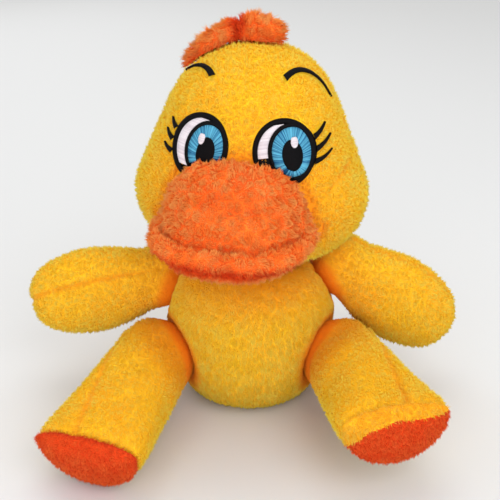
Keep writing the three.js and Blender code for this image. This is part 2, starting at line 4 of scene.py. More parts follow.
import bmesh
import bpy
import numpy as np
from mathutils import Matrix, Vector, noise
from mathutils.bvhtree import BVHTree


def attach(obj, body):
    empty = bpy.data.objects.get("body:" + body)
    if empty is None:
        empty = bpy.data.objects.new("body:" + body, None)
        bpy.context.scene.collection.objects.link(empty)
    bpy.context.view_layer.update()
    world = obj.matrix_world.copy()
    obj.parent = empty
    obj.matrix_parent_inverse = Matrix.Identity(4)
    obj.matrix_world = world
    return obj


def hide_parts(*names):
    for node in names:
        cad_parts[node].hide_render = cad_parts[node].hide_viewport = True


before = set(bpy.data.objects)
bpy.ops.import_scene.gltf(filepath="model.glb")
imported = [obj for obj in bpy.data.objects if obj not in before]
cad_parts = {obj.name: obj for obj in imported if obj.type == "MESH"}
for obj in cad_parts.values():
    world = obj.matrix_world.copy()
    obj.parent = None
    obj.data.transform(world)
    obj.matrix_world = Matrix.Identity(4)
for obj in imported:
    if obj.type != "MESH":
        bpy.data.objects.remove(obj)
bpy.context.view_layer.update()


# Body cover
# A front panel and two back panels of short yellow plush, sewn wrong side out, turned and stuffed
# with polyester fibre. The panels swell between their seams, and a pellet bag flattens the seat.
MM = 0.001


def mm(*sizes):
    """Sizes in millimetres as metres."""
    return tuple(size * MM for size in sizes)


BODY_PANELS = ("body_front_panel", "body_back_left_panel", "body_back_right_panel")
BODY_FILLING = ("body_stuffing", "seat_pellet_bag")
LIMB_NODES = tuple(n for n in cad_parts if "_arm_" in n or "_leg_" in n)
BODY_GRAIN = 3.6 * MM
BODY_SWELL = 2.5 * MM
BODY_SEAM_DEPTH = 1.3 * MM
SEAM_WIDTH = 2.2 * MM
SEAM_HOLD = 2.5 * MM
JOINT_HOLD = 6 * MM
SEAT_HOLD = 2 * MM
DOWN = (0, 0, -1)
# Painted shade beside the joints, under the chin and along the seams: how dark it is and how far it
# reaches.
JOINT_SHADE, JOINT_REACH = 0.75, mm(1, 9)
CHIN_SHADE, CHIN_REACH = 0.45, mm(4, 40)
SEAM_SHADE, SEAM_REACH = 0.4, 1.7 * MM


def add_object(name, mesh):
    """A new object in the scene."""
    ob = bpy.data.objects.new(name, mesh)
    bpy.context.scene.collection.objects.link(ob)
    return ob


def add_built(name, bm):
    """A new object from a built mesh."""
    mesh = bpy.data.meshes.new(name)
    bm.to_mesh(mesh)
    bm.free()
    return add_object(name, mesh)


def applied(ob):
    """The mesh that an object's modifiers make of it."""
    graph = bpy.context.evaluated_depsgraph_get()
    return bpy.data.meshes.new_from_object(ob.evaluated_get(graph))


def settle(ob):
    """Applies an object's modifiers and removes them."""
    made = applied(ob)
    ob.modifiers.clear()
    ob.data = made


def vectors(rows, key):
    """One vector for each row of a mesh's points or normals."""
    found = np.empty(len(rows) * 3, np.float32)
    rows.foreach_get(key, found)
    return found.reshape(-1, 3).astype(float)


def places_of(ob):
    """Where an object's points are."""
    return vectors(ob.data.vertices, "co")


def ways_out(ob):
    """The way out of a skin at each of its points."""
    return vectors(ob.data.vertex_normals, "vector")


def move_to(ob, places):
    """Puts an object's points at new places."""
    ob.data.vertices.foreach_set("co", places.astype(np.float32).ravel())
    ob.data.update()


def write(ob, name, values):
    """Stores numbers or vectors on an object's points under a name."""
    in_space = values.ndim == 2
    found = ob.data.attributes.get(name)
    if found is None:
        found = ob.data.attributes.new(name, "FLOAT_VECTOR" if in_space else "FLOAT", "POINT")
    found.data.foreach_set("vector" if in_space else "value", values.astype(np.float32).ravel())


def ramp(values, start, end):
    """0 before start, 1 after end and smooth between them."""
    t = np.clip((values - start) / (end - start), 0, 1)
    return t * t * (3 - 2 * t)


def nearness(gap, start, end):
    """1 nearer than start, 0 beyond end and smooth between them."""
    return 1 - ramp(gap, start, end)


def bell(gap, width):
    """1 on a line, falling off smoothly beside it."""
    return np.exp(-((gap / width) ** 2))


def surface_of(names):
    """CAD nodes as one tree that finds the nearest point on them."""
    places, faces = [], []
    for name in names:
        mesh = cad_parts[name].data
        first = len(places)
        places += [v.co.copy() for v in mesh.vertices]
        faces += [[first + i for i in face.vertices] for face in mesh.polygons]
    return BVHTree.FromPolygons(places, faces)


def away_from(tree, places):
    """How far each place is from a tree of faces."""
    return np.array([tree.find_nearest(Vector(p))[3] for p in places])


def rough(places, size, seed):
    """Smooth random numbers about 0, with lumps of that size."""
    shift = Vector((seed * 7.1, seed * 3.7, seed * 5.3))
    return np.array([noise.noise(Vector(p) / size + shift) for p in places])


def even_out(ob, rounds):
    """Smooths a skin's points between their neighbours."""
    bm = bmesh.new()
    bm.from_mesh(ob.data)
    for _ in range(rounds):
        bmesh.ops.smooth_vert(
            bm, verts=bm.verts, factor=0.5, use_axis_x=True, use_axis_y=True, use_axis_z=True
        )
    bm.to_mesh(ob.data)
    bm.free()


WELD = 1e-6


def sewn_form(name, nodes, grain, rounds=4):
    """One closed skin round the CAD solids of a cover and its stuffing."""
    bm = bmesh.new()
    for node_name in nodes:
        bm.from_mesh(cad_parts[node_name].data)
    bmesh.ops.remove_doubles(bm, verts=bm.verts, dist=WELD)
    ob = add_built(name, bm)
    form = ob.modifiers.new("Form", "REMESH")
    form.mode = "VOXEL"
    form.voxel_size = grain
    form.adaptivity = 0
    settle(ob)
    bm = bmesh.new()
    bm.from_mesh(ob.data)
    left, largest = set(bm.verts), set()
    while left:
        island = {left.pop()}
        edge = list(island)
        while edge:
            near = {e.other_vert(v) for v in edge for e in v.link_edges} & left
            left -= near
            island |= near
            edge = list(near)
        largest = max(largest, island, key=len)
    bmesh.ops.delete(bm, geom=[v for v in bm.verts if v not in largest], context="VERTS")
    bm.to_mesh(ob.data)
    bm.free()
    even_out(ob, rounds)
    ob.data.materials.clear()
    return ob


SWELL_STEPS = 20
STUFFING_PRESSURE = 4.0


def swell(ob, held, most):
    """Blows a skin up from inside while its seams are held. No point moves further than most."""
    start = places_of(ob)
    sewn = ob.vertex_groups.new(name="sewn")
    sewn.add([int(i) for i in np.nonzero(held)[0]], 1.0, "REPLACE")
    cloth = ob.modifiers.new("Stuffing", "CLOTH")
    cloth.settings.quality = 5
    cloth.settings.use_pressure = True
    cloth.settings.uniform_pressure_force = STUFFING_PRESSURE
    cloth.settings.vertex_group_mass = "sewn"
    cloth.settings.effector_weights.gravity = 0
    cloth.settings.shrink_min = -0.01
    cloth.collision_settings.use_collision = False
    cloth.point_cache.frame_start = 1
    cloth.point_cache.frame_end = SWELL_STEPS
    for step in range(1, SWELL_STEPS + 1):
        bpy.context.scene.frame_set(step)
    blown = applied(ob)
    ob.modifiers.clear()
    way = vectors(blown.vertices, "co") - start
    bpy.context.scene.frame_set(1)
    far = np.linalg.norm(way, axis=1, keepdims=True)
    move_to(ob, start + way * np.minimum(1, most / np.maximum(far, 1e-9)))
    even_out(ob, 3)


def refine(ob):
    """Rounds a skin by one subdivision."""
    round_off = ob.modifiers.new("Round", "SUBSURF")
    round_off.levels = round_off.render_levels = 1
    settle(ob)
    ob.data.polygons.foreach_set("use_smooth", [True] * len(ob.data.polygons))


def panel_seams(places, panels):
    """For each place, the panel that it is on and how far it is from that panel's nearest seam."""
    reach = np.stack([away_from(surface_of([p]), places) for p in panels], 1)
    return reach.argmin(1), np.partition(reach, 1, axis=1)[:, 1]


STITCH_WAVER = 9 * MM
PUCKER_SIZE = 4.5 * MM
PUCKER_DEPTH, PUCKER_REACH = 0.7, 3.2


def draw_in(ob, seam, depth, width, seed):
    """Sinks the skin along its seams and gathers it into small puckers beside them."""
    places = places_of(ob)
    line = bell(seam, width) * (0.8 + 0.5 * rough(places, STITCH_WAVER, seed))
    beside = bell(seam, PUCKER_REACH * width)
    pucker = rough(places, PUCKER_SIZE, seed + 1) * beside * depth * PUCKER_DEPTH
    move_to(ob, places + ways_out(ob) * (pucker - depth * line)[:, None])


def along_skin(ob, way):
    """A direction laid along the skin at each of its points."""
    way = np.broadcast_to(np.asarray(way, float), (len(ob.data.vertices), 3))
    out = ways_out(ob)
    flat = way - out * np.sum(way * out, axis=1, keepdims=True)
    return flat / np.maximum(np.linalg.norm(flat, axis=1, keepdims=True), 1e-6)


def node(tree, kind, inputs=None, **settings):
    """A node with its settings. Each input is a value or another node's output."""
    made = tree.nodes.new(kind)
    for key, value in settings.items():
        setattr(made, key, value)
    for key, value in (inputs or {}).items():
        if isinstance(value, bpy.types.NodeSocket):
            tree.links.new(value, made.inputs[key])
        else:
            made.inputs[key].default_value = value
    return made


def on_numbers(tree, operation, *terms):
    """A math node on plain numbers."""
    return node(tree, "ShaderNodeMath", dict(enumerate(terms)), operation=operation).outputs[0]


def on_vectors(tree, operation, *terms):
    """A math node on vectors."""
    inputs = dict(enumerate(terms))
    return node(tree, "ShaderNodeVectorMath", inputs, operation=operation).outputs[0]


def vector_sum(tree, *terms):
    return reduce(lambda total, term: on_vectors(tree, "ADD", total, term), terms)


def times(tree, vector, factor):
    return node(
        tree, "ShaderNodeVectorMath", {0: vector, "Scale": factor}, operation="SCALE"
    ).outputs[0]


def product(tree, *factors):
    return reduce(lambda total, factor: on_numbers(tree, "MULTIPLY", total, factor), factors)


def length_of(tree, vector):
    return node(tree, "ShaderNodeVectorMath", {0: vector}, operation="LENGTH").outputs["Value"]


def combined(tree, **parts):
    """A vector from its X, Y and Z."""
    return node(tree, "ShaderNodeCombineXYZ", parts).outputs[0]


def any_number(tree, low, high, seed):
    """A number between low and high for each point. Inputs 2 and 3 are a plain number's limits."""
    return node(
        tree, "FunctionNodeRandomValue", {2: low, 3: high, "Seed": seed}, data_type="FLOAT"
    ).outputs[1]


def named(tree, name, kind):
    """What the points hold under a name."""
    return node(
        tree, "GeometryNodeInputNamedAttribute", {"Name": name}, data_type=kind
    ).outputs["Attribute"]


def store(tree, geometry, name, value, kind="FLOAT", domain="INSTANCE"):
    """The geometry with a value kept under a name."""
    return node(
        tree, "GeometryNodeStoreNamedAttribute",
        {"Geometry": geometry, "Name": name, "Value": value}, data_type=kind, domain=domain,
    ).outputs["Geometry"]


def shape_of(tree, source, as_instance=False):
    """The shape of an object that is given to a tree."""
    return node(
        tree, "GeometryNodeObjectInfo", {"Object": source, "As Instance": as_instance},
        transform_space="ORIGINAL",
    ).outputs["Geometry"]


def realized(tree, geometry):
    return node(tree, "GeometryNodeRealizeInstances", {"Geometry": geometry}).outputs[0]


def new_tree(name, inputs):
    """An empty geometry tree that takes a geometry and named inputs."""
    tree = bpy.data.node_groups.new(name, "GeometryNodeTree")
    for key, kind in {"Geometry": "Geometry", **inputs}.items():
        tree.interface.new_socket(key, in_out="INPUT", socket_type="NodeSocket" + kind)
    tree.interface.new_socket("Geometry", in_out="OUTPUT", socket_type="NodeSocketGeometry")
    return tree


def put_out(tree, geometry, finish):
    """Ends a tree with its geometry in one finish."""
    done = node(tree, "GeometryNodeSetMaterial", {"Geometry": geometry, "Material": finish})
    node(tree, "NodeGroupOutput", {0: done.outputs[0]})


def add_tree(ob, tree, values):
    """Gives an object a geometry tree with its inputs set."""
    made = ob.modifiers.new(tree.name, "NODES")
    made.node_group = tree
    place = {s.name: s.identifier for s in tree.interface.items_tree if s.in_out == "INPUT"}
    for key, value in values.items():
        made[place[key]] = value
    return made


PILE_DENSITY = 1.6
SWAY_SCALE = 90.0
STRAND_TONE = 0.28
STRAND_LENGTHS = (0.75, 1.1)
TUFT_DOME = {"From Min": 0.1, "From Max": 0.7, "To Min": 1.15, "To Max": 0.62}


def build_pile_tree():
    """Strands over a skin: spaced out, leaning with the nap and into tufts, one map cell each."""
    sizes = ("Clear", "Spacing", "Length", "Width", "Lean", "Sway", "Tuft", "Tuft Size", "Stray")
    tree = new_tree("Pile", {
        "Strand": "Object", "Clear Of": "Object", **dict.fromkeys(sizes, "Float"), "Seed": "Int",
        "Finish": "Material",
    })
    given = node(tree, "NodeGroupInput").outputs
    seed = given["Seed"]
    square = product(tree, given["Spacing"], given["Spacing"])
    roots = node(
        tree, "GeometryNodeDistributePointsOnFaces",
        {"Mesh": given["Geometry"], "Distance Min": given["Spacing"],
         "Density Max": on_numbers(tree, "DIVIDE", PILE_DENSITY, square),
         "Density Factor": named(tree, "pile", "FLOAT"), "Seed": seed},
        distribute_method="POISSON",
    ).outputs
    at = node(tree, "GeometryNodeInputPosition").outputs[0]

    def drift(scale):
        return node(
            tree, "ShaderNodeTexNoise", {"Vector": at, "Scale": scale, "Detail": 1.0}
        ).outputs["Color"]

    tuft_scale = on_numbers(tree, "DIVIDE", 1.0, given["Tuft Size"])
    sway = vector_sum(tree, drift(SWAY_SCALE), (-0.5, -0.5, -0.5))
    spread = vector_sum(tree, times(tree, at, tuft_scale), drift(tuft_scale))
    tuft = node(tree, "ShaderNodeTexVoronoi", {"Vector": spread, "Scale": 1.0}).outputs
    inward = on_vectors(tree, "SUBTRACT", tuft["Position"], spread)
    upright = on_vectors(tree, "PROJECT", inward, roots["Normal"])
    inward = on_vectors(tree, "SUBTRACT", inward, upright)
    stray = node(
        tree, "FunctionNodeRandomValue", {0: (-1, -1, -1), 1: (1, 1, 1), "Seed": seed},
        data_type="FLOAT_VECTOR",
    ).outputs[0]
    way = vector_sum(
        tree,
        roots["Normal"],
        times(tree, named(tree, "comb", "FLOAT_VECTOR"), given["Lean"]),
        times(tree, sway, given["Sway"]),
        times(tree, inward, given["Tuft"]),
        times(tree, stray, given["Stray"]),
    )
    stand = node(tree, "FunctionNodeAlignRotationToVector", {"Vector": way}, axis="Z").outputs[0]
    roll = combined(tree, Z=any_number(tree, 0.0, math.tau, seed))
    roll = node(tree, "FunctionNodeEulerToRotation", {0: roll}).outputs[0]
    turned = node(
        tree, "FunctionNodeRotateRotation", {"Rotation": stand, "Rotate By": roll},
        rotation_space="LOCAL",
    ).outputs[0]
    dome = node(
        tree, "ShaderNodeMapRange", {"Value": length_of(tree, inward), **TUFT_DOME}
    ).outputs["Result"]
    own_length = any_number(tree, *STRAND_LENGTHS, seed)
    long = product(tree, given["Length"], named(tree, "nap", "FLOAT"), own_length, dome)
    gap = node(
        tree, "GeometryNodeProximity", {"Geometry": shape_of(tree, given["Clear Of"])},
        target_element="POINTS",
    ).outputs["Distance"]
    free = node(
        tree, "FunctionNodeCompare", {0: gap, 1: given["Clear"]}, data_type="FLOAT",
        operation="GREATER_THAN",
    ).outputs[0]
    grown = node(
        tree, "GeometryNodeInstanceOnPoints",
        {"Points": roots["Points"], "Selection": free, "Rotation": turned,
         "Instance": shape_of(tree, given["Strand"], True),
         "Scale": combined(tree, X=given["Width"], Y=given["Width"], Z=long)},
    ).outputs[0]
    of_tuft = node(tree, "ShaderNodeSeparateXYZ", {0: tuft["Color"]}).outputs[0]
    tone = node(
        tree, "ShaderNodeMix", {0: STRAND_TONE, 2: of_tuft, 3: any_number(tree, 0.0, 1.0, seed)}
    ).outputs[0]
    grown = store(tree, grown, "tone", tone)
    grown = store(tree, grown, "strand", node(tree, "GeometryNodeInputIndex").outputs[0])
    count = node(
        tree, "GeometryNodeAttributeDomainSize", {"Geometry": grown}, component="INSTANCES"
    ).outputs["Instance Count"]
    across = on_numbers(tree, "CEIL", on_numbers(tree, "SQRT", count))
    grown = realized(tree, grown)
    number = named(tree, "strand", "FLOAT")
    column = on_numbers(tree, "FLOORED_MODULO", number, across)
    row = on_numbers(tree, "FLOOR", on_numbers(tree, "DIVIDE", number, across))
    cell = combined(tree, X=column, Y=row)
    spot = vector_sum(tree, cell, named(tree, "StrandUV", "FLOAT_VECTOR"))
    spot = times(tree, spot, on_numbers(tree, "DIVIDE", 1.0, across))
    put_out(tree, store(tree, grown, "OFBake", spot, "FLOAT2", "CORNER"), given["Finish"])
    return tree


STRAND_ROOT = -0.12


def build_strand():
    """A closed three-sided spike of unit size, with its map and a number from root to tip."""
    bm = bmesh.new()
    map_layer = bm.loops.layers.uv.new("StrandUV")

    def face(corners, marks):
        made = bm.faces.new(corners)
        made.smooth = True
        for loop, mark in zip(made.loops, marks):
            loop[map_layer].uv = mark

    turn = [math.tau * k / 3 for k in range(3)]
    root = [bm.verts.new((0.5 * math.cos(a), 0.5 * math.sin(a), STRAND_ROOT)) for a in turn]
    tip = bm.verts.new((0, 0, 1))
    mark = [0.06 + 0.88 * k / 3 for k in range(4)]
    for k in range(3):
        middle = (mark[k] + mark[k + 1]) / 2
        face(
            (root[k], root[(k + 1) % 3], tip), ((mark[k], 0.2), (mark[k + 1], 0.2), (middle, 0.94))
        )
    face(root[::-1], ((0.3, 0.05), (0.7, 0.05), (0.5, 0.15)))
    ob = add_built("spike", bm)
    write(ob, "tip", np.maximum(0, places_of(ob)[:, 2]))
    return ob


pile_tree = build_pile_tree()
spike = build_strand()
nothing_near = add_object("nothing_near", bpy.data.meshes.new("nothing_near"))
nothing_near.data.from_pydata([(0, 0, 50)], [], [])
FLOOR_WEAR = 3.4 * MM
FLOOR_CLEAR = mm(0.3, 0.8)
SHORTEST_NAP = 0.08
CRUSH_REACH = mm(2, 12)
PILE_CLEAR = mm(0.8, 2.0)
PLAIN_NAP = dict(
    Spacing=0.47 * MM, Length=2.3 * MM, Width=0.52 * MM, Lean=0.3, Sway=0.6, Stray=0.2,
    Tuft=1.1, Tuft_Size=2.9 * MM,
)


def seam_nap(seam, least=0.55, reach=3 * MM):
    """The share of the pile's length beside a seam, where the stitches catch it."""
    return least + (1 - least) * ramp(seam, 0, reach)


def crushed(gap):
    """The share of the pile's length beside a joint, where the limb and the body press on it."""
    return 0.35 + 0.65 * ramp(gap, *CRUSH_REACH)


def grow_pile(name, skin, cover, slot, seed, body, clear_of=None, clear=0.0, **nap):
    """Pile on a skin where cover is above 0, as a piece of its own on the skin's body."""
    write(skin, "pile", cover * ramp(places_of(skin)[:, 2], *FLOOR_CLEAR))
    values = {key.replace("_", " "): value for key, value in dict(PLAIN_NAP, **nap).items()}
    values.update({
        "Strand": spike, "Clear Of": clear_of or nothing_near, "Clear": clear, "Seed": seed,
        "Finish": finishes[slot],
    })
    grown = add_tree(skin, pile_tree, values)
    mesh = applied(skin)
    skin.modifiers.remove(grown)
    for spare in ("StrandUV", "strand", "pile", "comb", "nap"):
        if spare in mesh.attributes:
            mesh.attributes.remove(mesh.attributes[spare])
    mesh.polygons.foreach_set("use_smooth", [True] * len(mesh.polygons))
    coat = add_object(name, mesh)
    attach(coat, body)


def stuffed(skin, nodes, body, slot, way, nap, *shades, fill):
    """Puts a stuffed skin in the place of its CAD solids, with its finish, its nap, which is worn
    short above the floor, and the deepest of its painted shades."""
    worn = np.clip(places_of(skin)[:, 2] / FLOOR_WEAR, SHORTEST_NAP, 1)
    write(skin, "comb", along_skin(skin, way))
    write(skin, "nap", np.minimum(nap, worn))
    # Painted shade: the darkest of the given shades, kept on each point.
    write(skin, "painted_shade", np.maximum.reduce(shades))
    skin.data.materials.append(finishes[slot])
    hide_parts(*nodes)
    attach(skin, body)


def kept_number(tree, name):
    """What a piece's points hold under a name, for a shader."""
    return node(tree, "ShaderNodeAttribute", attribute_name=name).outputs["Fac"]


def between(tree, factor, one, other):
    """A colour between two others."""
    return node(tree, "ShaderNodeMix", {0: factor, 6: one, 7: other}, data_type="RGBA").outputs[2]


PATCH_SCALE = 55.0


def build_plush_colour():
    """Shared colour of the plush: darker at the root and lighter at the tip as painted shade and
    light in the pile, painted warm shade in creases, uneven.
    """
    tree = bpy.data.node_groups.new("Plush colour", "ShaderNodeTree")
    for name in ("Root", "Pile", "Tip", "Shade"):
        tree.interface.new_socket(name, in_out="INPUT", socket_type="NodeSocketColor")
    tree.interface.new_socket("Colour", in_out="OUTPUT", socket_type="NodeSocketColor")
    given = node(tree, "NodeGroupInput").outputs

    def part(value, low, high):
        return node(
            tree, "ShaderNodeMapRange",
            {"Value": value, "From Min": low, "From Max": high}, interpolation_type="SMOOTHSTEP",
        ).outputs["Result"]

    # Painted shade and light in the pile: darker towards the root, lighter at the tip.
    tip = kept_number(tree, "tip")
    colour = between(tree, part(tip, 0.0, 0.55), given["Root"], given["Pile"])
    colour = between(tree, part(tip, 0.5, 1.0), colour, given["Tip"])
    at = node(tree, "ShaderNodeTexCoord").outputs["Object"]
    patches = node(
        tree, "ShaderNodeTexNoise", {"Vector": at, "Scale": PATCH_SCALE, "Detail": 3.0}
    ).outputs["Fac"]
    uneven = on_numbers(tree, "ADD", kept_number(tree, "tone"), patches)
    colour = between(tree, part(uneven, 0.6, 1.9), colour, given["Tip"])
    colour = between(tree, part(uneven, 0.95, 0.3), colour, given["Pile"])
    # Painted shade: the crease colour mixed in as far as each point's shade reaches.
    colour = between(tree, kept_number(tree, "painted_shade"), colour, given["Shade"])
    node(tree, "NodeGroupOutput", {0: colour})
    return tree


def linear(*levels):
    """A colour as a picture names it, red, green and blue from 0 to 255, for a shader."""
    shares = [level / 255 for level in levels]
    return (*(s / 12.92 if s <= 0.04045 else ((s + 0.055) / 1.055) ** 2.4 for s in shares), 1.0)


def new_finish(name):
    """An empty material and its tree."""
    made = bpy.data.materials.new(name)
    made.use_nodes = True
    made.node_tree.nodes.clear()
    return made, made.node_tree


def put_on(tree, values):
    """Ends a material with its shader."""
    surface = node(tree, "ShaderNodeBsdfPrincipled", values)
    node(tree, "ShaderNodeOutputMaterial", {"Surface": surface.outputs[0]})


plush_colour = build_plush_colour()


def plush(name, sheen, root, pile, tip, crease):
    """A plush fabric. Its sheen is the soft light that the ends of the pile throw back."""
    made, tree = new_finish(name)
    # The crease colour is the colour of painted shade; the darker root and lighter tip are painted
    # shade and light.
    colours = {"Root": root, "Pile": pile, "Tip": tip, "Shade": crease}
    colour = node(
        tree, "ShaderNodeGroup", {key: linear(*value) for key, value in colours.items()},
        node_tree=plush_colour,
    )
    put_on(tree, {
        "Base Color": colour.outputs[0], "Roughness": 0.82, "Specular IOR Level": 0.25,
        "Sheen Weight": sheen, "Sheen Roughness": 0.45, "Sheen Tint": linear(*tip),
    })
    return made


# Root, pile, tip and crease colours: the darker root and the crease colour are painted shade, the
# lighter tip is painted light.
finishes = {"yellow_pile": plush(
    "yellow plush", 0.14, (252, 172, 18), (255, 208, 36), (255, 231, 90), (246, 122, 6)
)}

body_skin = sewn_form("body_skin", BODY_PANELS + BODY_FILLING, BODY_GRAIN)
limb_surface = surface_of(LIMB_NODES + ("neck_wad",))
overhang = surface_of(("head_face_panel", "upper_bill_cover", "lower_bill"))
body_places = places_of(body_skin)
body_seam = panel_seams(body_places, BODY_PANELS)[1]
limb_gap = away_from(limb_surface, body_places)
seated = body_places[:, 2] < SEAT_HOLD
swell(body_skin, (body_seam < SEAM_HOLD) | (limb_gap < JOINT_HOLD) | seated, BODY_SWELL)
refine(body_skin)
body_places = places_of(body_skin)
body_panel, body_seam = panel_seams(body_places, BODY_PANELS)
limb_gap = away_from(limb_surface, body_places)
draw_in(body_skin, body_seam, BODY_SEAM_DEPTH, SEAM_WIDTH, 3)
# Painted shade beside the limbs and the neck, under the head and the bill, and along the seams.
stuffed(
    body_skin, BODY_PANELS + BODY_FILLING, "body", "yellow_pile", DOWN,
    seam_nap(body_seam) * crushed(limb_gap),
    JOINT_SHADE * nearness(limb_gap, *JOINT_REACH),
    CHIN_SHADE * nearness(away_from(overhang, places_of(body_skin)), *CHIN_REACH),
    SEAM_SHADE * bell(body_seam, SEAM_REACH),
    fill=0.8,
)
for k, panel in enumerate(BODY_PANELS):
    grow_pile(
        panel.replace("panel", "pile"), body_skin, ramp(limb_gap, *PILE_CLEAR) * (body_panel == k),
        "yellow_pile", 11 + k, "body", Length=2.4 * MM, Lean=1.1, Tuft=0.8, Tuft_Size=3.4 * MM,
    )


# Neck
# A short sleeve of the same plush round the firm wad on which the head turns, gathered and closed
# between the body's top and the underside of the head.
HEAD_PANELS = ("head_face_panel", "head_back_left_panel", "head_back_right_panel")
NECK_GRAIN = 3.6 * MM
NECK_SHADE = 0.6
NECK_NAP = 0.5
neck_skin = sewn_form("neck_skin", ("neck_wad",), NECK_GRAIN, 2)
refine(neck_skin)
neck_places = places_of(neck_skin)
neck_free = away_from(surface_of(BODY_PANELS + HEAD_PANELS), neck_places)
# Painted shade over the whole neck, which lies under the head.
stuffed(
    neck_skin, ("neck_wad",), "neck", "yellow_pile", DOWN, NECK_NAP,
    np.full(len(neck_places), NECK_SHADE), fill=0.9,
)
grow_pile(
    "neck_pile", neck_skin, ramp(neck_free, *PILE_CLEAR), "yellow_pile", 15, "neck", Lean=0.7
)


# Head cover
# A face panel and two back panels of the same plush, stuffed round and firm. The face panel is
# embroidered before it is sewn, and the crown seam takes in the crest.
BILL_NODES = ("upper_bill_cover", "bill_stuffing", "lower_bill")
CREST_NODES = ("crest_front_lobe", "crest_side_lobe")
HEAD_GRAIN = 3.8 * MM
HEAD_SWELL = 2.0 * MM
HEAD_SEAM_DEPTH = 1.2 * MM
BILL_HOLD = 2 * MM
NECK_HOLD = 3 * MM
HEAD_WAY = (0, 0.5, 0.8)
# Painted shade on the face beside the bill and the neck, and a painted reflection of the bill's
# orange near it.
FACE_SHADE, FACE_REACH = 0.6, mm(1, 9)
BILL_REFLECTION, REFLECTION_REACH = 0.15, mm(6, 32)
NECK_HEIGHT = 86 * MM
HEAD_TURN = math.radians(-10)
HEAD_TILT = math.radians(1.5)
CHEEK_DART = [
    Vector(p) * MM for p in ((53.3, -12.6, 65.2), (49.4, -24.9, 61.1), (45.5, -33.2, 55.7))
]
DART_STEPS = 15
head_stand = (
    Matrix.Translation((0, 0, NECK_HEIGHT)) @ Matrix.Rotation(HEAD_TURN, 4, "Z")
    @ Matrix.Rotation(HEAD_TILT, 4, "Y")
)
head_skin = sewn_form("head_skin", HEAD_PANELS + ("head_stuffing",), HEAD_GRAIN)
bill_surface = surface_of(BILL_NODES)
neck_surface = surface_of(("neck_wad",))
head_places = places_of(head_skin)
head_seam = panel_seams(head_places, HEAD_PANELS)[1]
held = (head_seam < SEAM_HOLD) | (away_from(bill_surface, head_places) < BILL_HOLD)
swell(head_skin, held | (away_from(neck_surface, head_places) < NECK_HOLD), HEAD_SWELL)
refine(head_skin)
head_places = places_of(head_skin)
head_panel, head_seam = panel_seams(head_places, HEAD_PANELS)
dart = np.array([
    head_stand @ start.lerp(end, k / DART_STEPS)
    for start, end in zip(CHEEK_DART, CHEEK_DART[1:]) for k in range(DART_STEPS + 1)
])
dart_gap = np.linalg.norm(head_places[:, None] - dart[None], axis=2).min(axis=1)
head_seam = np.minimum(head_seam, dart_gap)
draw_in(head_skin, head_seam, HEAD_SEAM_DEPTH, SEAM_WIDTH, 5)
head_places = places_of(head_skin)
bill_gap = away_from(bill_surface, head_places)
joint_gap = np.minimum(bill_gap, away_from(neck_surface, head_places))
crest_gap = away_from(surface_of(CREST_NODES), head_places)
head_bare = ramp(np.minimum(joint_gap, crest_gap), *PILE_CLEAR)
# Painted shade beside the bill and the neck, a painted reflection of the bill near it, and painted
# shade along the seams.
stuffed(
    head_skin, HEAD_PANELS + ("head_stuffing",), "head", "yellow_pile", HEAD_WAY,
    seam_nap(head_seam),
    FACE_SHADE * nearness(joint_gap, *FACE_REACH),
    BILL_REFLECTION * nearness(bill_gap, *REFLECTION_REACH),
    SEAM_SHADE * bell(head_seam, SEAM_REACH),
    fill=0.85,
)


# Embroidered eyes, lashes and brows
# Satin stitch in black, white and blue thread through the face panel: rows of threads laid side by
# side across each shape, the iris radial, over a flat pad of the same thread.
EYE_AT = {"left": mm(22, 76), "right": mm(-19.8, 76)}
EYE_HALF = mm(15.8, 16.9)
EYE_LEAN = math.radians(6)
EYE_LINE = 2.6 * MM
IRIS_HALF = mm(12, 14)
IRIS_ASIDE = 4.2 * MM
IRIS_LINE = 2.0 * MM
PUPIL_HALF = mm(5.25, 7.75)
PUPIL_DROP = 1.5 * MM
GLINT_HALF = mm(1.9, 2.7)
GLINT_AT = {"left": mm(5.8, 4.7), "right": mm(0.6, 4.7)}
LASHES = (("upper", 22, 50, 8 * MM), ("middle", 2, 42, 9 * MM), ("lower", -18, 28, 9.5 * MM))
LASH_SHARE = {"left": 1.0, "right": 0.7}
LASH_BEND = 20
LASH_WIDTH = 2.9 * MM
BROW_AT = {"left": mm(28.5, 106.5), "right": mm(-25.5, 108)}
BROW_PATH = {
    "left": (mm(-12.4, 4.4), mm(6.6, 11.5), mm(13.1, -11.9)),
    "right": (mm(12.1, 0.9), mm(0.6, 6.2), mm(-11.4, -3)),
}
BROW_WIDTH = 3.4 * MM
THREAD_STEP = 0.34 * MM
THREAD_WIDTH = 0.52 * MM
THREAD_HEIGHT = 0.45 * MM
THREAD_LIFT = 1.0 * MM
OUTLINE_LIFT = THREAD_LIFT + 0.25 * MM
RIM_LIFT = PUPIL_LIFT = THREAD_LIFT + 0.3 * MM
GLINT_LIFT = THREAD_LIFT + 0.6 * MM
LINE_LIFT = 1.9 * MM
OUTLINE_PAD = THREAD_LIFT - 0.5 * MM
IRIS_PAD = THREAD_LIFT - 0.3 * MM
PUPIL_PAD = THREAD_LIFT + 0.1 * MM
PAD_CORNERS = 40
RING_SLANT, BAND_SLANT, BAND_TAPER = 0.03, 0.35, 0.75
RAY_CROWD, BAND_CROWD, BAND_BOW = 1.2, 1.1, 1.15
BILL_FREE = 0.4 * MM
WHITE_FREE = 2.2 * MM
PILE_FREE = 0.85 * MM
BILL_LENGTH = 80 * MM
FACE_STEP = 4 * MM
SLOPE_STEP = 2 * MM

face_tree = BVHTree.FromPolygons(
    [v.co.copy() for v in head_skin.data.vertices],
    [tuple(p.vertices) for p in head_skin.data.polygons],
)
bill_ahead = surface_of(("upper_bill_cover",))
into_face = head_stand.to_3x3() @ Vector((0, 1, 0))


